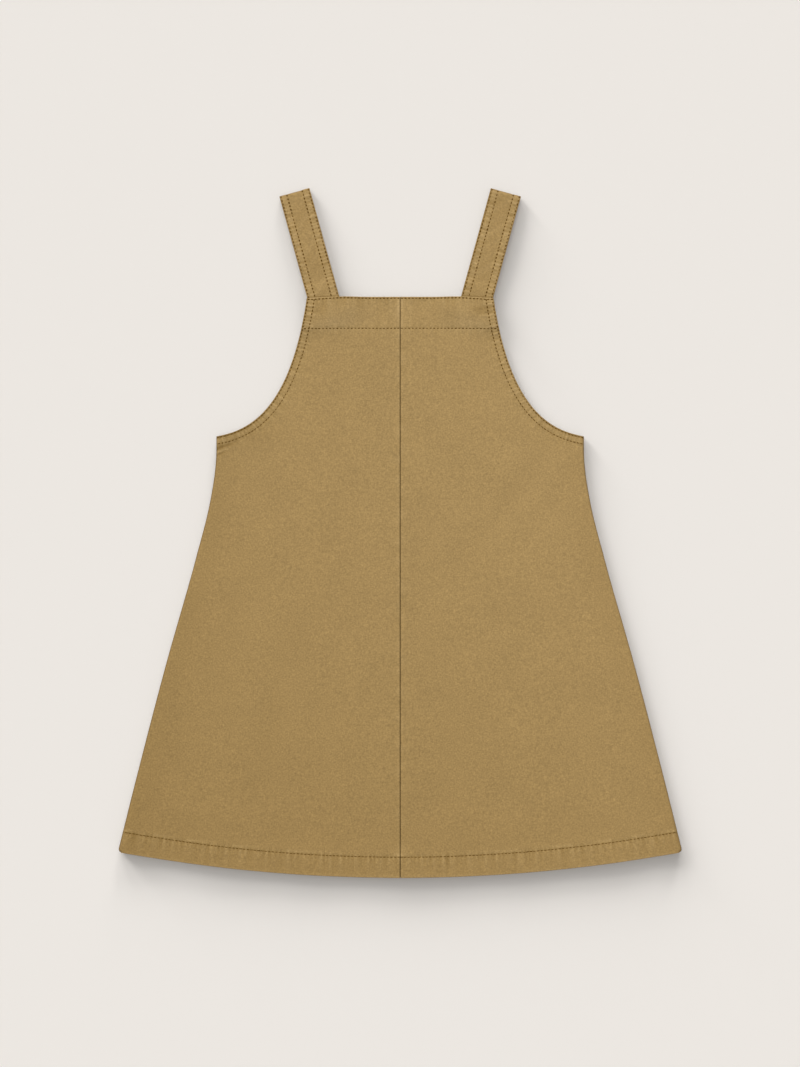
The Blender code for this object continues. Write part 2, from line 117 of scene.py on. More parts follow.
# Straps
STRAP_WIDTH = 25.4 * MM
STRAP_LENGTH = 88.2 * MM
STRAP_LEAN = math.radians(15.4)
STRAP_BASE_X = 62.4 * MM
STRAP_TUCK = 9.0 * MM
STRAP_WALL = 1.5 * MM
STRAP_BAND_WALL = 1.8 * MM
STRAP_LINES = (1.15 * MM, 6.2 * MM)
STRAP_FOLD_GAP = 0.7 * MM
STRAP_LOFT = 0.9 * MM
STRAP_LEVEL = 4.5 * MM
STRAP_RAMP = 11.0 * MM
STRAP_PLATEAU = 3.0 * MM
STRAP_FADE = 21.0 * MM
STRAP_DENT = 0.10 * MM
STRAP_PUCKER = 0.20 * MM
STRAP_PUCKER_LENGTHS = (9.1 * MM, 3.3 * MM)
STRAP_PUCKER_SHARES = (0.42, 1.05)
STRAP_PUCKER_WIDTH = 3.4 * MM
SOLID_FACED_WALL = 1.5 * MM
STACKED_HEIGHT = 2 * SOLID_FACED_WALL + 2 * STRAP_BAND_WALL + 3 * SEAM_GAP

# Mesh spacing, before each triangle is cut into four
FINE_STEP = STITCH_PITCH / 2
FRONT_GRID = 4.2 * MM
BACK_GRID = 6.4 * MM
BACK_STEP = 2.2 * MM
OUTLINE_STEP = 2.0 * MM
RIM_INSETS = (0.3 * MM, 0.7 * MM)
RIM_CLEARANCE = 1.3 * RIM_INSETS[-1]  # between an edge and the rows' ends
GRID_CLEARANCE = 0.5  # of a grid's step, between the grid and the rows
SAME_POINT = 1e-7
CURL_ROWS = (1.1 * MM, 2.2 * MM)
EDGE_ROW = 0.75 * MM  # inside the outermost line of stitching
GROOVE_ROWS = (-0.7 * MM, 0.0, 0.7 * MM)
SEAM_ROWS = (1.5 * MM, 2.7 * MM)
CREASE_ROWS = (-0.9 * MM, 0.0, 0.9 * MM)
STRAP_ROWS = (0.0, 0.25 * MM, 3.0 * MM, 4.4 * MM)  # in from its edge
STRAP_MIDDLE_ROWS = 5
STRAP_MIDDLE_CLEARANCE = 1.4 * MM


class Fold(NamedTuple):
    """A soft trough (depth below 0) or ridge between two points, in millimetres."""

    from_x: float
    from_drop: float
    to_x: float
    to_drop: float
    width: float
    depth: float

    def ends(self):
        return MM * np.array([(self.from_x, -self.from_drop), (self.to_x, -self.to_drop)])


FRONT_FOLDS = (
    Fold(126, 122, 66, 200, 9, -0.85),
    Fold(150, 150, 112, 214, 13, 0.55),
    Fold(-135, 108, -122, 168, 9, -0.45),
    Fold(-112, 190, -150, 345, 13, -0.60),
    Fold(-80, 245, -104, 395, 13, -0.55),
    Fold(-60, 330, -66, 440, 12, -0.35),
    Fold(42, 330, 46, 425, 12, -0.55),
    Fold(128, 262, 118, 372, 16, 0.40),
    Fold(152, 322, 146, 400, 12, -0.55),
    Fold(190, 350, 200, 425, 12, 0.35),
    Fold(48, 84, 56, 126, 10, -0.30),
    Fold(-182, 431, -40, 444, 9, -0.40),
    Fold(70, 445, 176, 432, 8, -0.35),
    Fold(-40, 120, -70, 205, 16, 0.25),
    Fold(20, 190, 30, 300, 14, -0.25),
    Fold(-165, 300, -190, 420, 11, -0.35),
)
BACK_FOLDS = (
    Fold(-120, 130, -62, 214, 10, 0.45),
    Fold(96, 150, 128, 246, 12, 0.35),
    Fold(-38, 205, -52, 330, 14, 0.40),
    Fold(60, 262, 84, 388, 13, 0.45),
    Fold(-140, 268, -170, 372, 12, 0.35),
    Fold(8, 340, 16, 432, 11, 0.30),
    Fold(-92, 350, -104, 430, 11, 0.40),
    Fold(156, 320, 172, 418, 12, 0.35),
    Fold(-30, 62, -58, 118, 11, 0.30),
    Fold(44, 96, 20, 176, 12, 0.30),
)
FOLD_END_SHARE = 0.35
UNDERARM_CREASES = (
    Fold(-164, 128.8, -133, 117.6, 1.5, -0.34),
    Fold(-159, 131.2, -139, 122.6, 1.1, 0.18),
    Fold(-158, 132.4, -141, 125.2, 1.1, -0.22),
)
# Painted light and shade on the underarm creases: paler on their ridges, darker in their troughs.
CREASE_PAINTED_LIGHT_AND_SHADE = 3.2  # for each millimetre that a crease is raised


# --- Plan ---


def unit(vectors):
    return vectors / np.linalg.norm(vectors, axis=1)[:, None]


def right_of(runs):
    """Unit vectors to the right of each direction, which is inwards on a clockwise outline."""
    runs = unit(runs)
    return np.column_stack([runs[:, 1], -runs[:, 0]])


def distances_along(line):
    lengths = np.linalg.norm(np.diff(line, axis=0), axis=1)
    return np.concatenate([[0.0], np.cumsum(lengths)])


def spread_along(line, step):
    """The line again in even steps of about the given length, ends kept."""
    along = distances_along(line)
    at = np.linspace(0.0, along[-1], max(2, round(along[-1] / step) + 1))
    return np.column_stack([np.interp(at, along, line[:, k]) for k in (0, 1)])


def top_edge(start_x, step):
    return spread_along(np.array([[start_x, 0.0], [BIB_HALF_WIDTH, 0.0]]), step)


def armhole(step):
    """From the bib's corner to the underarm."""
    top = np.array([BIB_HALF_WIDTH, 0.0])
    low = np.array([CHEST_HALF_WIDTH, -ARMHOLE_DEPTH])
    leave = ARMHOLE_TOP_HANDLE * np.array([math.sin(ARMHOLE_TOP_LEAN), -math.cos(ARMHOLE_TOP_LEAN)])
    arrive = ARMHOLE_LOW_HANDLE * np.array([math.sin(ARMHOLE_LOW_LEAN), -math.cos(ARMHOLE_LOW_LEAN)])
    t = np.linspace(0.0, 1.0, CURVE_POINTS)[:, None]
    curve = (
        (1 - t) ** 3 * top
        + 3 * t * (1 - t) ** 2 * (top + leave)
        + 3 * t**2 * (1 - t) * (low - arrive)
        + t**3 * low
    )
    return spread_along(curve, step)


def side_half_width(drop):
    """Half width at a drop: a cubic through the stations with the slopes of their chords."""
    drops, widths = np.array(SIDE_STATIONS).T
    slopes = np.gradient(widths, drops)
    slopes[0] = 0.0
    i = np.clip(np.searchsorted(drops, drop) - 1, 0, len(drops) - 2)
    span = drops[i + 1] - drops[i]
    t = (drop - drops[i]) / span
    return (
        (2 * t**3 - 3 * t**2 + 1) * widths[i]
        + (t**3 - 2 * t**2 + t) * span * slopes[i]
        + (3 * t**2 - 2 * t**3) * widths[i + 1]
        + (t**3 - t**2) * span * slopes[i + 1]
    )


def side_seam(step):
    """From the underarm down to where the hem's corner starts to round."""
    drop = np.linspace(ARMHOLE_DEPTH, BODY_LENGTH - HEM_SAG - HEM_CORNER_RADIUS, CURVE_POINTS)
    return spread_along(np.column_stack([side_half_width(drop), -drop]), step)


def hem(end_x, step):
    """From the hem's corner to the centre seam: an arc that is lowest at the centre."""
    x = np.linspace(HEM_HALF_WIDTH - HEM_CORNER_RADIUS, end_x, CURVE_POINTS)
    return spread_along(np.column_stack([x, HEM_SAG * (x / HEM_HALF_WIDTH) ** 2 - BODY_LENGTH]), step)


def hem_corner():
    """Points that round the corner between the side seam and the hem."""
    start, end = side_seam(FINE_STEP)[-1], hem(0.0, FINE_STEP)[0]
    corner = np.array([HEM_HALF_WIDTH, HEM_SAG - BODY_LENGTH])
    t = np.array([0.2, 0.4, 0.6, 0.8])[:, None]
    return (1 - t) ** 2 * start + 2 * t * (1 - t) * corner + t**2 * end


def right_outline(centre_x, step):
    """The right half's outline, clockwise from the centre of the top edge to that of the hem."""
    upper = [top_edge(centre_x, step)[:-1], armhole(step)[:-1]]
    return np.vstack([*upper, side_seam(step), hem_corner(), hem(centre_x, step)])


def mirrored(line):
    """The same line on the other side of the centre, run the other way to stay clockwise."""
    return (line * np.array([-1.0, 1.0]))[::-1]


def with_tails(line, reach=12 * MM):
    """The line run straight on past both ends, so that what is parallel to it stays so."""
    first, last = line[0] - line[1], line[-1] - line[-2]
    first, last = first / np.linalg.norm(first), last / np.linalg.norm(last)
    return np.vstack([line[0] + reach * first, line, line[-1] + reach * last])


ARMHOLE = with_tails(armhole(OUTLINE_STEP))
SIDE = np.vstack([side_seam(OUTLINE_STEP), hem_corner()])
HEM = with_tails(hem(0.0, OUTLINE_STEP))


def nearest_on(line, points):
    """Each point's distance from a line, how far along that is, and the line's direction there."""
    start, step = line[:-1], np.diff(line, axis=0)
    length = np.linalg.norm(step, axis=1)
    before = distances_along(line)
    far, along, direction = np.empty(len(points)), np.empty(len(points)), np.empty((len(points), 2))
    for rows in np.array_split(np.arange(len(points)), 1 + len(points) * len(line) // 2_000_000):
        away = points[rows, None] - start
        share = np.clip((away * step).sum(2) / length**2, 0.0, 1.0)
        gap = np.linalg.norm(away - share[..., None] * step, axis=2)
        nearest = gap.argmin(1)
        pick = np.arange(len(rows))
        far[rows] = gap[pick, nearest]
        along[rows] = before[nearest] + share[pick, nearest] * length[nearest]
        direction[rows] = step[nearest] / length[nearest, None]
    return far, along, direction


def on_right(points):
    """The points folded on to the right half, because both halves have the same edges."""
    return np.column_stack([np.abs(points[:, 0]), points[:, 1]])


def smooth(value):
    """0 below 0 and 1 above 1, with level ends."""
    t = np.clip(value, 0.0, 1.0)
    return t * t * (3 - 2 * t)


def dip(x, y):
    """How far the top edge's ends are let down, at plan points of the right half."""
    share = smooth((x - TOP_DIP_START) / (BIB_HALF_WIDTH - TOP_DIP_START))
    return TOP_DIP * share * (1.0 - smooth(-y / TOP_DIP_DEPTH))


def dipped(points):
    """The points with the top edge's ends let down."""
    return np.column_stack([points[:, 0], points[:, 1] - dip(*on_right(points).T)])


def bump(distance, width):
    """1 at no distance, falling softly to 0 beyond the width."""
    return np.exp(-((distance / width) ** 2))


def uneven(along, length, seed):
    """A smooth value that wanders between about -1 and 1 over the given length."""
    phase = along / length * 2 * math.pi
    first, second = np.sin(phase + seed), np.sin(phase * 0.618 + 2.3 * seed)
    return (first + 0.7 * second + 0.4 * np.sin(phase * 1.71 + seed**2)) / 2.1


def ripples(along, length, seed):
    """Puckers across a seam: narrow crests (above 0), uneven in spacing and size."""
    wander = 2.7 * uneven(along, 4.3 * length, seed)
    size = 0.6 + 0.4 * uneven(along, 3.1 * length, seed + 4.0)
    rise = (1.0 + np.sin(2 * math.pi * along / length + wander)) / 2
    return size * (2.0 * rise**2 - 0.75)


# --- Where each point lies ---


class Place:
    """How far plan points are from each edge and seam, and how far along it."""

    def __init__(self, points, seamed):
        self.points = points
        folded = on_right(points)
        self.left = points[:, 0] < 0
        self.from_top = -points[:, 1]
        self.from_middle = folded[:, 0]
        self.from_seam = self.from_middle if seamed else np.full(len(points), np.inf)
        self.patches = PATCHES if seamed else BACK_PATCHES
        self.from_armhole, self.along_armhole, _ = nearest_on(ARMHOLE, folded)
        self.from_side, self.along_side, self.side_run = nearest_on(SIDE, folded)
        self.from_hem, self.along_hem, _ = nearest_on(HEM, folded)
        self.from_outline = np.minimum(self.from_armhole, self.from_side)

    def turned_in(self, depth, from_edge):
        """1 on a turned edge and 0 beyond its stitching."""
        return smooth((depth - from_edge) / STEP_LENGTH + 0.5)

    def faced(self):
        arm = self.turned_in(ARMHOLE_LINE_2, self.from_armhole)
        return np.maximum(self.turned_in(FACING_LINE, self.from_top), arm)

    def hemmed(self):
        return self.turned_in(HEM_LINE, self.from_hem)

    def wall(self):
        return WALL + (FACED_WALL - WALL) * self.faced() + (HEM_WALL - WALL) * self.hemmed()


def fold_height(points, folds):
    """The sum of the soft troughs and ridges."""
    total = np.zeros(len(points))
    for fold in folds:
        start, end = fold.ends()
        run = end - start
        share = np.clip((points - start) @ run / (run @ run), 0.0, 1.0)
        across = np.linalg.norm(points - start - share[:, None] * run, axis=1)
        along = FOLD_END_SHARE + (1.0 - FOLD_END_SHARE) * np.sin(math.pi * share)
        total += MM * fold.depth * along * bump(across, MM * fold.width)
    return total


def crease_rows(step):
    """Rows that the mesh follows along the creases at the left underarm."""
    rows = []
    for crease in UNDERARM_CREASES:
        rows += [inset_line(spread_along(crease.ends(), step), across) for across in CREASE_ROWS]
    return rows


def strap_lift(points):
    """1 over a tucked strap end, falling to 0 beyond it."""
    from_base = on_right(points) - np.array([STRAP_BASE_X, 0.0])
    down = -from_base @ np.array([math.sin(STRAP_LEAN), math.cos(STRAP_LEAN)])
    across = from_base @ np.array([math.cos(STRAP_LEAN), -math.sin(STRAP_LEAN)])
    past_side = np.maximum(np.abs(across) - STRAP_WIDTH / 2 - STRAP_PLATEAU, 0.0)
    past_end = np.maximum(down - STRAP_TUCK - STRAP_PLATEAU, 0.0)
    return 1.0 - smooth(np.hypot(past_side, past_end) / STRAP_FADE)


def skin_height(place):
    """The shown face's height before it curls down at the side seams and before its sewing."""
    near_side = bump(place.from_side, SIDE_ROLL_WIDTH)
    near_hem = 1.0 - smooth(place.from_hem / HEM_LIFT_LENGTH)
    near_seam = 1.0 - smooth(place.from_seam / SEAM_ALLOWANCE - 1.0)
    x = place.points[:, 0]
    wave = sum(np.sin(2 * math.pi * x / length + 0.6) for length in HEM_WAVE_LENGTHS)
    height = (
        REST_HEIGHT
        + SIDE_ROLL * near_side
        + HEM_LIFT * near_hem
        + HEM_WAVE * near_hem * wave * (1.0 - near_side)
        + SEAM_LIFT * near_seam
        + fold_height(place.points, FRONT_FOLDS)
    )
    lift = strap_lift(place.points)
    raised = BAND_RAISE * np.maximum(place.faced(), place.hemmed())
    return height * (1.0 - lift) + STACKED_HEIGHT * lift + raised


# --- Sewing relief ---


class Line(NamedTuple):
    """A line of stitching: its edge, how far in it runs, how it dents, its painted shade in the groove, and
    its thread.
    """

    edge: str
    depth: float
    dent: float
    shade: float
    thread_length: float
    thread_width: float


LINES = (
    Line("from_top", EDGE_LINE, 0.06 * MM, 0.75, 2.0 * MM, 1.05 * MM),
    Line("from_top", FACING_LINE, 0.08 * MM, 0.15, 2.0 * MM, 0.79 * MM),
    Line("from_armhole", EDGE_LINE, 0.06 * MM, 0.7, 1.9 * MM, 1.05 * MM),
    Line("from_armhole", ARMHOLE_LINE_2, 0.10 * MM, 0.35, 2.0 * MM, 0.97 * MM),
    Line("from_hem", HEM_LINE, 0.16 * MM, 0.62, 2.4 * MM, 0.57 * MM),
)
GROOVE_WIDTH = 0.6 * MM


def along_lines(place, measure):
    """One measure of the stitching lines, each fading out beside its line."""
    near = [bump(getattr(place, line.edge) - line.depth, GROOVE_WIDTH) for line in LINES]
    return np.max([getattr(line, measure) * at for line, at in zip(LINES, near, strict=True)], axis=0)


class Pucker(NamedTuple):
    """Ripples that sewing draws up across a band: where, how far they reach, how high, how much painted
    light and shade they carry, how long, and along what.
    """

    edge: str
    middle: float
    inner_reach: float
    outer_reach: float
    height: float
    shade: float
    length: float
    along: str


PUCKERS = (
    Pucker("from_hem", HEM_LINE - 1 * MM, 3 * MM, 12 * MM, 0.22 * MM, 0.24, 10.5 * MM, "along_hem"),
    Pucker("from_hem", HEM_LINE - 1 * MM, 3 * MM, 6 * MM, 0.10 * MM, 0.46, 4.3 * MM, "along_hem"),
    Pucker("from_armhole", ARMHOLE_LINE_2 / 2, 8 * MM, 5 * MM, 0.13 * MM, 0.26, 7.9 * MM, "along_armhole"),
    Pucker("from_armhole", ARMHOLE_LINE_2 / 2, 6 * MM, 4 * MM, 0.15 * MM, 0.40, 3.4 * MM, "along_armhole"),
    Pucker("from_top", FACING_LINE, 6 * MM, 5 * MM, 0.09 * MM, 0.20, 6.3 * MM, "from_middle"),
    Pucker("from_top", EDGE_LINE, 8 * MM, 6 * MM, 0.10 * MM, 0.30, 5.7 * MM, "from_middle"),
    Pucker("from_top", EDGE_LINE, 16 * MM, 6 * MM, 0.12 * MM, 0.20, 17.3 * MM, "from_middle"),
    Pucker("from_seam", 0.0, 5 * MM, 5 * MM, 0.06 * MM, 0.20, 21 * MM, "from_top"),
)
PUCKERED_TOP = 55 * MM  # the armhole is drawn up most above this
PUCKERED_MORE = 0.5


def puckers(place):
    """The ripples' height in metres, and their painted light and shade: paler on crests (above 0), darker
    in troughs.
    """
    height, shade = np.zeros(len(place.points)), np.zeros(len(place.points))
    for number, pucker in enumerate(PUCKERS):
        away = getattr(place, pucker.edge) - pucker.middle
        near = bump(away, np.where(away > 0, pucker.inner_reach, pucker.outer_reach))
        if pucker.along == "along_armhole":
            near = near * (1.0 + PUCKERED_MORE - PUCKERED_MORE * smooth(place.from_top / PUCKERED_TOP))
        seed = 1.3 * number + np.where(place.left, 0.7, 2.9)
        ripple = near * ripples(getattr(place, pucker.along), pucker.length, seed)
        height += pucker.height * ripple
        shade += pucker.shade * ripple
    return height, shade


SHOULDER_FROM_SEAM = 1.7 * MM
SHOULDER_WIDTH = 1.2 * MM
SHOULDER_HEIGHT = 0.06 * MM
DITCH_WIDTH = 0.45 * MM
DITCH_DEPTH = 0.22 * MM
SLACK_HEIGHT = 0.15 * MM
SLACK_LENGTHS = (61 * MM, 47 * MM, 39 * MM)


def seam_roll(place):
    """The pressed seam's soft shoulder and the ditch between the halves, in metres."""
    shoulder = bump(place.from_seam - SHOULDER_FROM_SEAM, SHOULDER_WIDTH)
    ditch = bump(place.from_seam, DITCH_WIDTH)
    return SHOULDER_HEIGHT * shoulder - DITCH_DEPTH * ditch


def slackness(points):
    """Broad unevenness of cloth that was smoothed by hand, in metres."""
    x, y = points.T
    first, second, third = SLACK_LENGTHS
    broad = uneven(x + 0.6 * y, first, 1.0) + uneven(y - 0.3 * x, second, 2.2) * uneven(x, third, 3.7)
    return SLACK_HEIGHT * broad


class Patch(NamedTuple):
    """A patch of cloth made paler (above 0) or darker (below 0), in millimetres: painted light and shade on
    the shown face, uneven colour on the hidden one.
    """

    x: float
    drop: float
    half_width: float
    half_height: float
    tone: float


# Painted light and shade on the shown face: darker just below the strap ends and below the underarms; paler
# on the slopes below the strap ends, which lie in shade, at the top of the centre seam and between the
# underarm creases.
PATCHES = (
    Patch(-3, 12, 9, 22, 0.16),
    Patch(66, 10, 8, 3.5, -0.45),
    Patch(60, 22, 21, 5.5, 0.52),
    Patch(-66, 9, 8, 3.5, -0.25),
    Patch(-56, 22, 21, 5, 0.60),
    Patch(-43, 14, 16, 7, 0.38),
    Patch(46, 14, 9, 6, 0.16),
    Patch(-122, 108, 24, 10, -0.14),
    Patch(118, 112, 20, 8, -0.08),
    Patch(-141, 118, 6, 1.5, 0.35),
)
BACK_PATCHES = (
    Patch(38, 118, 60, 34, 0.09),
    Patch(-72, 250, 48, 62, -0.08),
    Patch(84, 372, 56, 30, 0.07),
    Patch(-120, 430, 60, 18, 0.06),
)


# Painted shade: darker towards the hem and towards the left, standing in for light that falls off from the
# top.
PAINTED_SHADE_LEFT = 0.55  # for each metre
PAINTED_SHADE_DOWN = 2.0  # for each square metre


def painted_shade_and_patches(place):
    """Painted shade, darker towards the hem and most at its left, and patches: painted light and shade on
    the shown face, uneven colour on the hidden one.
    """
    x, y = place.points.T
    total = PAINTED_SHADE_LEFT * x - PAINTED_SHADE_DOWN * y**2
    for patch in place.patches:
        away = place.points - MM * np.array([patch.x, -patch.drop])
        reach = (MM * patch.half_width, MM * patch.half_height)
        total += patch.tone * bump(np.linalg.norm(away / reach, axis=1), 1.0)
    return total


# --- Panels ---


def shown_skin(points):
    """Outer skin points and normals of the shown face, its tone, and where each point lies."""
    place = Place(points, seamed=True)
    rippled, shade = puckers(place)
    creased = fold_height(points, UNDERARM_CREASES)
    level = skin_height(place) + rippled + seam_roll(place) + slackness(points) + creased
    level -= along_lines(place, "dent")
    skin, normal = curled(place, level, SIDE_SEAM_HEIGHT + SEAM_GAP / 2, 1.0)
    # The creases carry painted light and shade as well as their relief.
    return skin, normal, tone(place, shade) + CREASE_PAINTED_LIGHT_AND_SHADE / MM * creased, place


def hidden_skin(points):
    """The same for the hidden face, whose dents rise from the surface that it rests on."""
    place = Place(points, seamed=False)
    rippled, shade = puckers(place)
    level = along_lines(place, "dent") + np.maximum(-rippled, 0.0) + fold_height(points, BACK_FOLDS)
    skin, normal = curled(place, level, SIDE_SEAM_HEIGHT - SEAM_GAP / 2, -1.0)
    return skin, normal, tone(place, shade), place


def curled(place, level, seam, up):
    """Skin points and normals: level, but turned towards the side seam beside it."""
    outward = np.column_stack([-place.side_run[:, 1] * np.sign(place.points[:, 0]), place.side_run[:, 0]])
    radius = up * (level - seam)
    sine = np.clip(1.0 - place.from_side / radius, 0.0, 1.0)
    cosine = np.sqrt(1.0 - sine**2)
    skin = np.column_stack([dipped(place.points), level - up * radius * (1.0 - cosine)])
    return skin, np.column_stack([outward * sine[:, None], up * cosine])


class Stripe(NamedTuple):
    """A paler (above 0) or darker stripe along an edge, on the left and the right half; most are painted
    light and shade.
    """

    edge: str
    middle: float
    width: float
    tones: tuple
    region: str = "near_top"  # where `more` is added to its tones
    more: tuple = (0.0, 0.0)


STRIPES = (
    # Painted shade along the armhole and side edges, where they round away from the light.
    Stripe("from_outline", 0.0, 0.6 * MM, (-0.8, -0.8)),
    # Darker within about 20 mm of the side seams.
    Stripe("from_side", 0.0, 20 * MM, (-0.12, -0.12)),
    # The armhole's edge stitching: more painted shade on the left, less on the right, and more at both
    # underarms.
    Stripe("from_armhole", EDGE_LINE, GROOVE_WIDTH, (-0.3, 0.25), "underarm", (-0.5, -0.9)),
    # More painted shade in the armhole's inner stitching at the underarms.
    Stripe("from_armhole", ARMHOLE_LINE_2, GROOVE_WIDTH, (0.0, 0.0), "underarm", (-0.3, -0.3)),
    # Less of the stitching's painted shade along the top edge over the straps.
    Stripe("from_top", EDGE_LINE, GROOVE_WIDTH, (0.0, 0.0), "over_strap", (0.5, 0.5)),
    # A painted highlight along the top edge's fold, brightest over the straps.
    Stripe("from_top", 0.0, 0.5 * MM, (0.3, 0.3), "over_strap", (1.0, 1.0)),
    # A painted shadow in the centre seam's ditch, on the right half's edge, which lies in the left one's
    # shadow; less near the top.
    Stripe("from_seam", 0.0, 0.4 * MM, (-0.1, -2.9), "near_top", (0.025, 0.725)),
    # Painted highlights on the seam's pressed shoulders, brighter near the top.
    Stripe("from_seam", 1.6 * MM, 0.8 * MM, (0.15, 0.15), "near_top", (0.3, 0.3)),
    # Paler just above the hem's stitching.
    Stripe("from_hem", HEM_LINE + 1.7 * MM, 1.0 * MM, (0.5, 0.5)),
    # Painted light along the hem's edge, which offsets the shadow that falls there.
    Stripe("from_hem", 0.0, 0.7 * MM, (0.7, 0.7)),
)
NEAR_TOP = 45 * MM
UNDERARM_DROP = 85 * MM
UNDERARM_FADE = 20 * MM
ARMHOLE_BAND_TONE = 0.15


def tone(place, shade):
    """Below 0 where the cloth is darker and above 0 where it is paler: mostly painted shade in grooves, in
    the seam and along edges, and painted highlights on ridges and folds, with paler bands.
    """
    regions = {
        "near_top": 1.0 - smooth(place.from_top / NEAR_TOP),
        "over_strap": dip(place.from_middle, np.zeros(len(place.points))) / TOP_DIP,
        "underarm": smooth((place.from_top - UNDERARM_DROP) / UNDERARM_FADE),
    }
    total = shade + painted_shade_and_patches(place) - along_lines(place, "shade")
    for stripe in STRIPES:
        more = np.where(place.left, *stripe.more) * regions[stripe.region]
        near = bump(getattr(place, stripe.edge) - stripe.middle, stripe.width)
        total += (np.where(place.left, *stripe.tones) + more) * near
    return total + ARMHOLE_BAND_TONE * place.turned_in(ARMHOLE_LINE_2, place.from_armhole)


def closed(loop):
    """The loop as a line that ends where it starts."""
    return np.vstack([loop, loop[:1]])


def inside(points, loop):
    """Whether each point lies within a loop."""
    x, y = points.T
    odd = np.zeros(len(points), bool)
    for (x0, y0), (x1, y1) in zip(loop, np.roll(loop, -1, axis=0), strict=True):
        if y0 != y1:
            odd ^= ((y0 > y) != (y1 > y)) & (x < (x1 - x0) * (y - y0) / (y1 - y0) + x0)
    return odd


def inset_line(line, depth):
    """An open line moved inwards, where the outline runs clockwise."""
    return line + depth * right_of(np.gradient(line, axis=0))


def inset_loop(loop, depth):
    """A clockwise loop moved inwards, with mitred corners."""
    arriving = right_of(loop - np.roll(loop, 1, axis=0))
    leaving = right_of(np.roll(loop, -1, axis=0) - loop)
    middle = unit(arriving + leaving)
    return loop + middle * (depth / (middle * arriving).sum(1))[:, None]


def line_path(line, step, across=0.0):
    """A stitching line of the right half, or the row beside it, run on past its ends."""
    depth = line.depth + across
    if line.edge == "from_top":
        return top_edge(0.0, step) * np.array([2.0, 1.0]) - np.array([0.0, depth])
    edge = armhole(step) if line.edge == "from_armhole" else hem(0.0, step)
    return inset_line(with_tails(edge), depth)


def feature_lines(step):
    """Rows that the right half's mesh follows: beside each line of stitching and along the curl."""
    rows = [inset_line(side_seam(step), depth) for depth in CURL_ROWS]
    for line in LINES:
        beside = (EDGE_ROW,) if line.depth == EDGE_LINE else GROOVE_ROWS
        rows += [line_path(line, step, across) for across in beside]
    return rows


def staggered_grid(loop, step):
    """Points in offset rows over a loop's inside."""
    low, high = loop.min(0), loop.max(0)
    x, y = np.meshgrid(*(np.arange(low[k] + step / 2, high[k], step) for k in (0, 1)))
    x = x + np.where(np.arange(len(x)) % 2, step / 2, 0.0)[:, None]
    grid = np.column_stack([x.ravel(), y.ravel()])
    return grid[inside(grid, loop)]


def triangulated(loop, lines, grid_step):
    """Plan points and triangles that fill a loop and follow its edge and the given lines."""
    rings = [loop] + [inset_loop(loop, depth) for depth in RIM_INSETS]
    edge = closed(loop)
    rows = [line[inside(line, loop) & (nearest_on(edge, line)[0] > RIM_CLEARANCE)] for line in lines]
    points = np.vstack(rings + rows)
    edges, first = [], 0
    for ring in rings:
        edges += [(first + i, first + (i + 1) % len(ring)) for i in range(len(ring))]
        first += len(ring)
    grid = staggered_grid(loop, grid_step)
    for line in [edge, *rows]:
        grid = grid[nearest_on(line, grid)[0] > GRID_CLEARANCE * grid_step]
    flat = [Vector(map(float, point)) for point in np.vstack([points, grid])]
    made = delaunay_2d_cdt(flat, edges, [list(range(len(loop)))], 1, SAME_POINT)
    return quartered(np.array([tuple(point) for point in made[0]]), np.array([tuple(f) for f in made[2]]))


def directed_sides(triangles):
    return np.concatenate([triangles[:, [0, 1]], triangles[:, [1, 2]], triangles[:, [2, 0]]])


def quartered(points, triangles):
    """Each triangle cut into four at the middles of its sides."""
    sides = np.sort(directed_sides(triangles), axis=1)
    unique, middle = np.unique(sides, axis=0, return_inverse=True)
    a, b, c = triangles.T
    ab, bc, ca = middle.reshape(3, -1) + len(points)
    quarters = ((a, ab, ca), (ab, b, bc), (ca, bc, c), (ab, bc, ca))
    finer = np.concatenate([np.column_stack(quarter) for quarter in quarters])
    return np.vstack([points, points[unique].mean(axis=1)]), finer


def panel(name, loop, lines, grid_step, skin_of, material):
    """A closed thin shell over a loop of the plan."""
    plan, triangles = triangulated(loop, lines, grid_step)
    skin, normal, tones, place = skin_of(plan)
    wall = place.wall()
    from_edge = nearest_on(closed(loop), plan)[0]
    rounding = (1.0 - EDGE_SHARE) / 2 * wall * (1.0 - smooth(from_edge / EDGE_ROUND))
    rounding[np.abs(normal[:, 2]) < ROUNDED_ABOVE] = 0.0
    outer = skin - normal * rounding[:, None]
    inner = skin - normal * (wall - rounding)[:, None]
    count = len(plan)
    sides = {tuple(side) for side in directed_sides(triangles).tolist()}
    rim = [(b, a, count + a, count + b) for a, b in sorted(sides) if (b, a) not in sides]
    faces = triangles.tolist() + (triangles[:, ::-1] + count).tolist() + rim
    if normal[:, 2].mean() < 0:
        faces = [face[::-1] for face in faces]
    shell = add_mesh(name, np.vstack([outer, inner]), faces, material)
    set_tone(shell, np.concatenate([tones, INNER_TONE * tones]))
    shell.location.y = TOP_EDGE_Y
    return shell


def add_object(name, data):
    made = bpy.data.objects.new(name, data)
    bpy.context.scene.collection.objects.link(made)
    return made


def add_mesh(name, points, faces, material):
    mesh = bpy.data.meshes.new(name)
    mesh.from_pydata(points.tolist(), [], faces)
    mesh.shade_smooth()
    mesh.set_sharp_from_angle(angle=SHARP_ANGLE)
    mesh.materials.append(material)
    return add_object(name, mesh)


def set_tone(piece, values):
    attribute = piece.data.attributes.new("tone", "FLOAT", "POINT")
    attribute.data.foreach_set("value", values.astype(np.float32))


def front_half_loop():
    edge = right_outline(SEAM_GAP / 2, FINE_STEP)
    centre = spread_along(np.array([edge[-1], edge[0]]), FINE_STEP)[1:-1]
    return np.vstack([edge, centre])


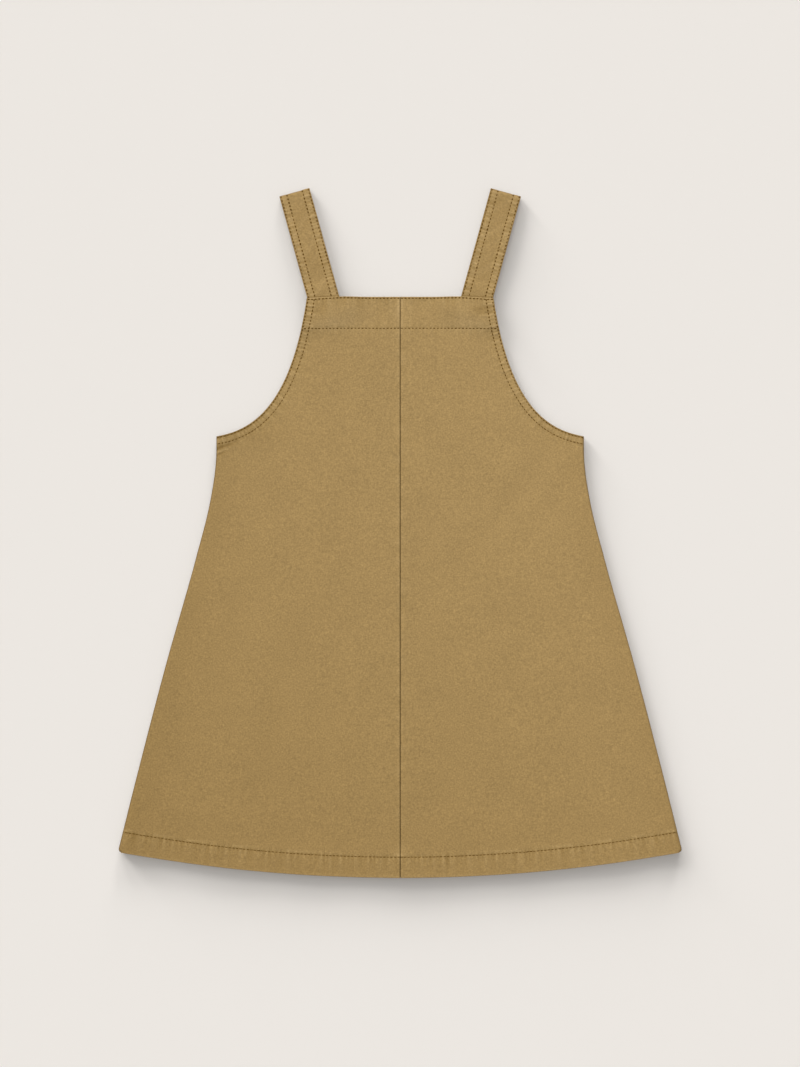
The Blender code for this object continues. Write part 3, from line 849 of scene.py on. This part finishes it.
def front_lines():
    seam = np.array([[0.0, 0.0], [0.0, -BODY_LENGTH]])
    extra = [spread_along(seam + np.array([x, 0.0]), 2 * FINE_STEP) for x in SEAM_ROWS]
    return feature_lines(FINE_STEP) + extra


def front_right(material):
    return panel("front_right_cloth", front_half_loop(), front_lines(), FRONT_GRID, shown_skin, material)


def front_left(material):
    loop, lines = mirrored(front_half_loop()), [mirrored(line) for line in front_lines()]
    lines += crease_rows(FINE_STEP)
    return panel("front_left_cloth", loop, lines, FRONT_GRID, shown_skin, material)


def back_loop():
    edge = right_outline(0.0, BACK_STEP)
    return np.vstack([edge[:-1], mirrored(edge)[:-1]])


def back(material):
    lines = feature_lines(BACK_STEP) + [mirrored(line) for line in feature_lines(BACK_STEP)]
    return panel("back_cloth", back_loop(), lines, BACK_GRID, hidden_skin, material)


# --- Straps ---


def strap_path(step):
    """The strap's middle as (along, height): the lower run out, round the fold, the upper back."""
    tucked_height = SOLID_FACED_WALL + SEAM_GAP + STRAP_BAND_WALL / 2
    resting_height = STRAP_BAND_WALL / 2
    tucked_apart = STRAP_BAND_WALL + SEAM_GAP
    fold_radius = (STRAP_BAND_WALL + STRAP_FOLD_GAP) / 2
    fold_at = STRAP_LENGTH - fold_radius - STRAP_BAND_WALL / 2
    along = np.linspace(-STRAP_TUCK, fold_at, 2 * CURVE_POINTS)
    landed = smooth((along - STRAP_LEVEL) / STRAP_RAMP)
    loft = STRAP_LOFT * np.sin(math.pi * np.clip(along / fold_at, 0.0, 1.0)) ** 2
    lower = tucked_height + (resting_height - tucked_height) * landed
    upper = lower + tucked_apart + (2 * fold_radius - tucked_apart) * landed + loft
    turn = np.linspace(-math.pi / 2, math.pi / 2, 40)[1:-1]
    round_fold = np.column_stack([np.cos(turn), 1.0 + np.sin(turn)]) * fold_radius
    round_fold += [fold_at, resting_height]
    runs = [np.column_stack([along, lower]), round_fold, np.column_stack([along, upper])[::-1]]
    return spread_along(np.vstack(runs), step)


def strap_frame(path):
    """Distance along the path, and the direction that points out of the loop."""
    return distances_along(path), right_of(np.gradient(path, axis=0))


def from_strap_edge(across):
    return STRAP_WIDTH / 2 - np.abs(across)


def strap_bands(across):
    """1 in the stitched bands along the strap's edges."""
    return smooth((STRAP_LINES[1] - from_strap_edge(across)) / STEP_LENGTH + 0.5)


def strap_half_wall(across):
    """Half the strap's thickness: more in the stitched bands, rounded off at the edges."""
    wall = (STRAP_WALL + (STRAP_BAND_WALL - STRAP_WALL) * strap_bands(across)) / 2
    return wall * (EDGE_SHARE + (1.0 - EDGE_SHARE) * smooth(from_strap_edge(across) / EDGE_ROUND) ** 0.5)


def strap_groove(across):
    return np.max([bump(from_strap_edge(across) - line, GROOVE_WIDTH) for line in STRAP_LINES], axis=0)


def strap_crest(across, along, side):
    """How far each point is up (1) or down (-1) in the puckers of the stitched bands."""
    band = bump(from_strap_edge(across) - np.mean(STRAP_LINES), STRAP_PUCKER_WIDTH)
    seed = 1.0 + side + np.where(across < 0, 0.0, 3.3)
    sizes = zip(STRAP_PUCKER_SHARES, STRAP_PUCKER_LENGTHS, strict=True)
    return band * sum(share * ripples(along, length, seed + length / MM) for share, length in sizes)


def strap_relief(across, along, side):
    """Grooves and puckers on the strap's outer skin, in metres."""
    return STRAP_PUCKER * strap_crest(across, along, side) - STRAP_DENT * strap_groove(across)


STRAP_TONE = -0.06
STRAP_MOTTLES = ((0.15, 11 * MM), (0.11, 37 * MM))  # tone and length, slanted and straight
STRAP_BAND_TONE = 0.22
# Painted light and shade on the bands' puckers: paler on crests, darker in troughs.
STRAP_CREST_PAINTED_LIGHT_AND_SHADE = 0.65
# Painted shade in the grooves of the stitching.
STRAP_GROOVE_PAINTED_SHADE = -0.35
# Painted shade along the strap's rounded edges.
STRAP_EDGE_PAINTED_SHADE = -0.75
STRAP_EDGE_WIDTH = 0.55 * MM
# Painted shade in the outer lines of stitching on the edges towards the light, most on the right strap,
# whose other line is a little paler.
STRAP_LINE_PAINTED_SHADES = {-1: (-0.15, 0.0), 1: (-0.65, 0.16)}  # the outer lines', for each side's strap
# Painted shade at the strap's fold.
FOLD_PAINTED_SHADE = -0.8
FOLD_TONE_LENGTH = 0.7 * MM
FOLD_TONE_START = 1.6  # of these lengths before the fold
# A painted shadow of the top edge on the strap.
TOP_EDGE_PAINTED_SHADOW = -0.9
TOP_EDGE_TONE_OUT = 0.4 * MM
TOP_EDGE_TONE_WIDTH = 0.7 * MM


def strap_tone(across, along, side):
    # Mottling and paler bands, with painted light and shade on puckers, grooves, edges, the fold and below
    # the top edge.
    slanted, straight = STRAP_MOTTLES
    total = STRAP_TONE + slanted[0] * uneven(along + across, slanted[1], 2.0 + side)
    total += straight[0] * uneven(along, straight[1], 4.0 + side)
    total += STRAP_BAND_TONE * strap_bands(across) + STRAP_CREST_PAINTED_LIGHT_AND_SHADE * strap_crest(across, along, side)
    total += STRAP_GROOVE_PAINTED_SHADE * strap_groove(across)
    total += STRAP_EDGE_PAINTED_SHADE * bump(from_strap_edge(across), STRAP_EDGE_WIDTH)
    outer_line = bump(from_strap_edge(across) - STRAP_LINES[0], GROOVE_WIDTH)
    return total + np.where(across < 0, *STRAP_LINE_PAINTED_SHADES[side]) * outer_line


def fold_shade(beyond):
    """Painted shade at the fold at the shoulder."""
    return FOLD_PAINTED_SHADE * smooth((beyond - STRAP_LENGTH) / FOLD_TONE_LENGTH + FOLD_TONE_START)


def top_edge_shade(across, beyond, side):
    """A painted shadow where the strap comes out from under the top edge."""
    x = STRAP_BASE_X + side * across * math.cos(STRAP_LEAN) + beyond * math.sin(STRAP_LEAN)
    y = beyond * math.cos(STRAP_LEAN) - side * across * math.sin(STRAP_LEAN)
    from_edge = y + dip(x, np.zeros(x.shape))
    return TOP_EDGE_PAINTED_SHADOW * bump(from_edge - TOP_EDGE_TONE_OUT, TOP_EDGE_TONE_WIDTH)


def strap(side, name, material):
    """The strap's shell: one ring carried along the folded path."""
    path = strap_path(STITCH_PITCH / 3)
    along, out = strap_frame(path)
    half = STRAP_WIDTH / 2
    lines = [half - line + step for line in STRAP_LINES for step in GROOVE_ROWS]
    inner = np.linspace(0.0, half - STRAP_LINES[1] - STRAP_MIDDLE_CLEARANCE, STRAP_MIDDLE_ROWS)
    right = np.unique(np.concatenate([inner, lines, half - np.array(STRAP_ROWS)]))
    across = np.concatenate([-right[:0:-1], right])
    wall = strap_half_wall(across)
    size, count = len(across), len(path)
    a, s = np.meshgrid(across, along)
    relief = strap_relief(a, s, side)
    tones = strap_tone(a, s, side) + top_edge_shade(a, path[:, :1], side) + fold_shade(path[:, :1])
    points = []
    for sign in (1, -1):
        depth = sign * wall[None, :] + (relief if sign > 0 else 0.0)
        place = path[:, None, :] + depth[..., None] * out[:, None, :]
        ring = np.stack([a, place[..., 0], place[..., 1]], axis=2)
        points.append(ring if sign > 0 else ring[:, ::-1])
    grid = np.concatenate(points, axis=1)
    tones = np.concatenate([tones, INNER_TONE * tones[:, ::-1]], axis=1)
    around, last = 2 * size, (count - 1) * 2 * size
    faces = [tuple(range(around)), tuple(last + i for i in reversed(range(around)))]
    for first in range(0, last, around):
        for i in range(around):
            j = (i + 1) % around
            faces.append((first + i, first + around + i, first + around + j, first + j))
    made = add_mesh(name, grid.reshape(-1, 3), faces, material)
    set_tone(made, tones.ravel())
    place_strap(made, side)
    return made


def place_strap(piece, side):
    piece.location = (side * STRAP_BASE_X, TOP_EDGE_Y, 0.0)
    piece.rotation_euler.z = -side * STRAP_LEAN


# --- Stitches ---

STRAP_THREAD = (1.9 * MM, 1.02 * MM)
THREAD_HEIGHT = 0.45 * MM
THREAD_SINK = 0.03 * MM
THREAD_DIVE = 0.35  # how far its ends go down, of its height
THREAD_TIP = 0.06  # its least section, of the fullest one
STITCH_YAW = 0.07
STITCH_LENGTHS = (0.88, 1.1)
STITCH_WIDTH_SPREAD = 0.14
STITCH_WIDTHS = (0.6, 1.3)
STITCH_CLEARANCE = 0.6 * MM
UNDERARM_THINNING = 0.25
THINNING_DROP = 20 * MM
THINNING_FADE = 50 * MM
STRAP_STITCHES_START = -2.0 * MM  # along the strap, just behind the top edge


def thread_template():
    """One stitch of unit size along X: a thread that rises out of one hole and goes down the next."""
    rings, sides = 7, 8
    t = np.linspace(-1.0, 1.0, rings)
    swell = np.sqrt(np.maximum(1.0 - np.abs(t) ** 3, THREAD_TIP)) / 2
    turn = np.arange(sides) * 2 * math.pi / sides
    points = [
        (t[r] / 2, swell[r] * math.cos(u), swell[r] * math.sin(u) - THREAD_DIVE * t[r] ** 4)
        for r in range(rings)
        for u in turn
    ]
    faces = [tuple(reversed(range(sides))), tuple((rings - 1) * sides + i for i in range(sides))]
    for r in range(rings - 1):
        for i in range(sides):
            j = (i + 1) % sides
            faces.append((r * sides + i, r * sides + j, (r + 1) * sides + j, (r + 1) * sides + i))
    return np.array(points), faces


def stitching(name, centres, runs, normals, sizes, material, seed):
    """One mesh of threads at the centres, along runs and out along normals, of length and width."""
    template, template_faces = thread_template()
    rng = np.random.default_rng(seed)
    runs = unit(runs)
    normals = unit(normals - (normals * runs).sum(1)[:, None] * runs)
    yaw = rng.normal(0.0, STITCH_YAW, len(centres))[:, None]
    side = np.cross(normals, runs)
    runs, side = runs * np.cos(yaw) + side * np.sin(yaw), side * np.cos(yaw) - runs * np.sin(yaw)
    length = sizes[:, :1] * rng.uniform(*STITCH_LENGTHS, len(centres))[:, None]
    widths = rng.normal(1.0, STITCH_WIDTH_SPREAD, len(centres))
    width = sizes[:, 1:] * np.clip(widths, *STITCH_WIDTHS)[:, None]
    t = template[None]
    points = (
        centres[:, None]
        + length[..., None] * t[..., 0:1] * runs[:, None]
        + width[..., None] * t[..., 1:2] * side[:, None]
        + (t[..., 2:3] * THREAD_HEIGHT - THREAD_SINK) * normals[:, None]
    )
    size = len(template)
    faces = [tuple(k * size + i for i in face) for k in range(len(centres)) for face in template_faces]
    return add_mesh(name, points.reshape(-1, 3), faces, material)


def panel_stitches(loop, flip):
    """Every stitch of one half, kept within its loop: place, direction in plan, length and width."""
    found = []
    for line in LINES:
        holes = spread_along(line_path(line, FINE_STEP), STITCH_PITCH)
        path = (holes[1:] + holes[:-1]) / 2
        spots = mirrored(path) if flip else path
        fits = inside(spots, loop) & (nearest_on(closed(loop), spots)[0] > STITCH_CLEARANCE)
        size = np.tile((line.thread_length, line.thread_width), (len(spots), 1))
        if line.edge == "from_armhole":
            size[:, 1] *= 1.0 - UNDERARM_THINNING * smooth((-spots[:, 1] - THINNING_DROP) / THINNING_FADE)
        found.append(np.hstack([spots, np.gradient(spots, axis=0), size])[fits])
    return np.vstack(found)


def panel_stitching(name, loop, flips, skin_of, material, seed):
    """The threads on a panel, laid on its skin."""
    found = np.vstack([panel_stitches(loop, flip) for flip in flips])
    spots, runs, sizes = found[:, :2], found[:, 2:4], found[:, 4:]
    reach = unit(runs) * sizes[:, :1] / 2
    centre, normal = skin_of(spots)[:2]
    along = skin_of(spots + reach)[0] - skin_of(spots - reach)[0]
    made = stitching(name, centre, along, normal, sizes, material, seed)
    made.location.y = TOP_EDGE_Y
    return made


def strap_stitching(name, side, material, seed):
    """Four lines of thread right round the strap's loop."""
    path = strap_path(STITCH_PITCH)
    along, out = strap_frame(path)
    visible = path[:, 0] > STRAP_STITCHES_START
    run = np.gradient(path, axis=0)
    half = STRAP_WIDTH / 2
    centres, runs, normals = [], [], []
    for across in [sign * (half - line) for sign in (-1, 1) for line in STRAP_LINES]:
        lane = np.full(len(path), across)
        depth = strap_half_wall(lane) + strap_relief(lane, along, side)
        place = path + depth[:, None] * out
        centres.append(np.column_stack([lane, place])[visible])
        runs.append(np.column_stack([0 * lane, run])[visible])
        normals.append(np.column_stack([0 * lane, out])[visible])
    centres, runs, normals = np.vstack(centres), np.vstack(runs), np.vstack(normals)
    made = stitching(name, centres, runs, normals, np.tile(STRAP_THREAD, (len(runs), 1)), material, seed)
    place_strap(made, side)
    return made


# --- Materials ---

CLOTH_COLOUR = (0.390, 0.256, 0.1000)
DEEPENING = (1.0, 1.15, 1.65)  # how much faster green and blue darken than red in deep dye and shadow
THREAD_COLOUR = (0.112, 0.054, 0.006)
FLOOR_COLOUR = (0.84, 0.80, 0.754)
# The tone attribute carries painted light and shade as well as uneven colour.
TONE_SHARE = 0.30  # how much one unit of tone changes the dye
FINE_YARN = 1100.0  # scales of noise, for each metre
LONG_YARN = 560.0
DEEP_YARN = 900.0
MOTTLE_SCALE = 230.0
CLOUD_SCALE = 30.0
YARN_SHARE = 0.50  # how much each noise changes the colour
MOTTLE_SHARE = 0.12
CLOUD_SHARE = 0.13
RIB_SCALE = 480.0
RIB_TURN = math.radians(27)
RIB_SHARE = 0.6  # of a yarn's relief


class Nodes:
    """Short calls for a material's node tree."""

    def __init__(self, name):
        self.material = bpy.data.materials.new(name)
        self.material.use_nodes = True
        self.tree = self.material.node_tree
        self.shader = self.tree.nodes["Principled BSDF"]

    def add(self, kind, settings=None, **inputs):
        node = self.tree.nodes.new(kind)
        for key, value in (settings or {}).items():
            setattr(node, key, value)
        return self.fill(node, inputs)

    def fill(self, node, inputs):
        for key, value in inputs.items():
            self.plug(value, node.inputs[key.replace("_", " ")])
        return node

    def surface(self, **inputs):
        self.fill(self.shader, inputs)

    def plug(self, value, socket):
        if isinstance(value, bpy.types.NodeSocket):
            self.tree.links.new(value, socket)
        else:
            socket.default_value = value

    def math(self, operation, a, b):
        node = self.add("ShaderNodeMath", {"operation": operation})
        self.plug(a, node.inputs[0])
        self.plug(b, node.inputs[1])
        return node.outputs[0]

    def noise(self, vector, scale, detail=2.0):
        return self.add("ShaderNodeTexNoise", Vector=vector, Scale=scale, Detail=detail).outputs[0]

    def scaled(self, vector, scale, turn=0.0):
        node = self.add("ShaderNodeMapping", Vector=vector, Scale=scale, Rotation=(0.0, 0.0, turn))
        return node.outputs[0]

    def wobble(self, value, share):
        """A noise value of about 0.5 as a factor around 1."""
        return self.math("ADD", self.math("MULTIPLY", self.math("SUBTRACT", value, 0.5), share), 1.0)


def gabardine(name):
    """Dyed cotton twill: fine heathered yarns over soft mottling, with the tone's painted light and shade.
    """
    n = Nodes(name)
    place = n.add("ShaderNodeTexCoord").outputs["Object"]
    # The tone attribute: uneven colour, with painted light and shade on ridges, in grooves and along edges.
    tone_value = n.add("ShaderNodeAttribute", {"attribute_name": "tone"}).outputs["Fac"]
    yarn_up = n.noise(n.scaled(place, (FINE_YARN, LONG_YARN, DEEP_YARN)), 1.0, detail=1.0)
    yarn_across = n.noise(n.scaled(place, (LONG_YARN, FINE_YARN, DEEP_YARN)), 1.0, detail=1.0)
    mottle = n.noise(place, MOTTLE_SCALE)
    cloud = n.noise(place, CLOUD_SCALE, detail=3.0)
    factor = n.wobble(yarn_up, YARN_SHARE)
    for value, share in ((yarn_across, YARN_SHARE), (mottle, MOTTLE_SHARE), (cloud, CLOUD_SHARE)):
        factor = n.math("MULTIPLY", factor, n.wobble(value, share))
    dye_and_painted_shade = n.math("ADD", n.math("MULTIPLY", tone_value, TONE_SHARE), 1.0)
    deepened = n.add("ShaderNodeCombineXYZ")
    for socket, power in zip(deepened.inputs, DEEPENING, strict=True):
        n.plug(n.math("POWER", dye_and_painted_shade, power), socket)
    tinted = n.add("ShaderNodeVectorMath", {"operation": "SCALE"}, Vector=deepened.outputs[0], Scale=factor)
    colour = n.add("ShaderNodeVectorMath", {"operation": "MULTIPLY"}, Vector=tinted.outputs[0])
    colour.inputs[1].default_value = CLOTH_COLOUR
    turned = n.scaled(place, (1.0, 1.0, 1.0), RIB_TURN)
    ribs = n.add("ShaderNodeTexWave", Vector=turned, Scale=RIB_SCALE, Distortion=1.5).outputs["Fac"]
    relief = n.math("ADD", n.math("MULTIPLY", ribs, RIB_SHARE), n.math("ADD", yarn_up, yarn_across))
    bumps = n.add("ShaderNodeBump", Strength=0.4, Distance=0.10 * MM, Height=relief)
    roughness = n.math("ADD", n.math("MULTIPLY", mottle, 0.12), 0.82)
    n.surface(Base_Color=colour.outputs[0], Normal=bumps.outputs[0], Roughness=roughness)
    n.surface(Specular_IOR_Level=0.15, Sheen_Weight=0.06, Sheen_Roughness=0.5)
    return n.material


def thread():
    """Dark brown sewing thread with a fine twist."""
    n = Nodes("thread")
    place = n.add("ShaderNodeTexCoord").outputs["Object"]
    shade = n.wobble(n.noise(place, 700.0), 0.5)
    colour = n.add("ShaderNodeVectorMath", {"operation": "SCALE"}, Vector=THREAD_COLOUR, Scale=shade)
    twist = n.add("ShaderNodeTexWave", Vector=n.scaled(place, (1, 1, 1), 0.6), Scale=900.0)
    bumps = n.add("ShaderNodeBump", Strength=0.4, Distance=0.08 * MM, Height=twist.outputs["Fac"])
    n.surface(Base_Color=colour.outputs[0], Normal=bumps.outputs[0], Roughness=0.9, Specular_IOR_Level=0.0)
    return n.material


def floor_material():
    n = Nodes("pale_floor")
    n.surface(Base_Color=(*FLOOR_COLOUR, 1.0), Roughness=1.0, Specular_IOR_Level=0.0)
    return n.material


# --- Studio ---

FRAME_PIXELS = (800, 1067)
METRES_PER_PIXEL = 0.81 * MM  # at the garment
CENTRE_SEAM_PIXEL = 400.15
TOP_EDGE_PIXEL = 296.6
FRAMED_HEIGHT = 5.2 * MM
LENS = 85.0
SENSOR = 36.0
FLOOR_SIZE = 40.0
FLOOR_LEVEL = -0.30 * MM  # under the thread on the back


class Sun(NamedTuple):
    """A distant light: degrees left of +Y and up, angular size, strength, and what it lights."""

    left: float
    up: float
    size: float
    share: float
    lights: str = "floor"


# Shares are of the light that falls on level ground.
SUNS = (
    Sun(40, 62, 50, 0.214, "cloth"),
    Sun(5, 50, 40, 0.51, "cloth"),
    Sun(0, 90, 5, 0.184),
    Sun(0, 30, 30, 0.045),
    Sun(10, 16, 20, 0.046),
    Sun(40, 16, 20, 0.171),
    Sun(70, 16, 20, 0.040),
    Sun(-10, 8, 15, 0.108),
    Sun(15, 8, 15, 0.068),
    Sun(40, 8, 15, 0.030),
    Sun(40, 4, 8, 0.028),
)
DOME_SHARE = 0.28


def add_floor():
    corners = FLOOR_SIZE / 2 * np.array([(-1, -1), (1, -1), (1, 1), (-1, 1)])
    points = np.column_stack([corners, np.full(4, FLOOR_LEVEL)])
    made = add_mesh("floor", points, [(0, 1, 2, 3)], floor_material())
    return made


def receivers(name, objects):
    """A group of objects for a light to reach."""
    group = bpy.data.collections.new(name)
    for each in objects:
        group.objects.link(each)
    return group


def add_lights(cloth, floor):
    """A pale dome, suns for the cloth, and for the floor one overhead and low ones for its shadow."""
    groups = {"cloth": receivers("cloth_lit", cloth), "floor": receivers("floor_lit", [floor])}
    for sun in SUNS:
        name = f"sun_{sun.lights}_{sun.left}_{sun.up}"
        data = bpy.data.lights.new(name, "SUN")
        data.angle = math.radians(sun.size)
        tilt, turn = math.radians(sun.up), math.radians(sun.left)
        data.energy = math.pi * sun.share / math.sin(tilt)
        lamp = add_object(name, data)
        away = Vector((-math.sin(turn) * math.cos(tilt), math.cos(turn) * math.cos(tilt), math.sin(tilt)))
        lamp.rotation_mode = "QUATERNION"
        lamp.rotation_quaternion = away.to_track_quat("Z", "Y")
        lamp.light_linking.receiver_collection = groups[sun.lights]
        data.cycles.max_bounces = 0  # or its light would tint what it is kept off
    world = bpy.data.worlds.new("dome")
    world.use_nodes = True
    background = world.node_tree.nodes["Background"]
    background.inputs["Color"].default_value = (1.0, 1.0, 1.0, 1.0)
    background.inputs["Strength"].default_value = DOME_SHARE
    bpy.context.scene.world = world


def add_camera():
    """Straight above, framed as 800 by 1067 pixels at the garment's scale."""
    data = bpy.data.cameras.new("camera")
    data.lens = LENS
    data.sensor_width = SENSOR
    camera = add_object("camera", data)
    width, height = FRAME_PIXELS
    camera.location = (
        (width / 2 - CENTRE_SEAM_PIXEL) * METRES_PER_PIXEL,
        TOP_EDGE_Y - (height / 2 - TOP_EDGE_PIXEL) * METRES_PER_PIXEL,
        FRAMED_HEIGHT + height * METRES_PER_PIXEL * LENS / SENSOR,
    )
    data.clip_end = 100.0
    bpy.context.scene.camera = camera
    bpy.context.scene.view_settings.view_transform = "Standard"


# --- The dress ---


def declare(piece, node, threads):
    """Attaches a panel or strap and its threads to the body, and hides the node's solid that the panel or
    strap replaces.
    """
    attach(piece, BODY)
    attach(threads, BODY)
    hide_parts(node)


def main():
    cloth = gabardine("gabardine")
    dark_thread = thread()
    left, right, behind = front_left(cloth), front_right(cloth), back(cloth)
    straps = [strap(side, f"strap_{name}_cloth", cloth) for side, name in ((-1, "left"), (1, "right"))]
    half = front_half_loop()
    threads = [
        panel_stitching("front_left_threads", mirrored(half), [True], shown_skin, dark_thread, 1),
        panel_stitching("front_right_threads", half, [False], shown_skin, dark_thread, 2),
        panel_stitching("back_threads", back_loop(), [False, True], hidden_skin, dark_thread, 3),
        strap_stitching("strap_left_threads", -1, dark_thread, 4),
        strap_stitching("strap_right_threads", 1, dark_thread, 5),
    ]
    declare(left, "front_left", threads[0])
    declare(right, "front_right", threads[1])
    declare(behind, "back", threads[2])
    for piece, node, sewing in zip(straps, ("strap_left", "strap_right"), threads[3:], strict=True):
        declare(piece, node, sewing)
    floor = add_floor()
    add_lights([left, right, behind, *straps, *threads], floor)
    add_camera()


main()
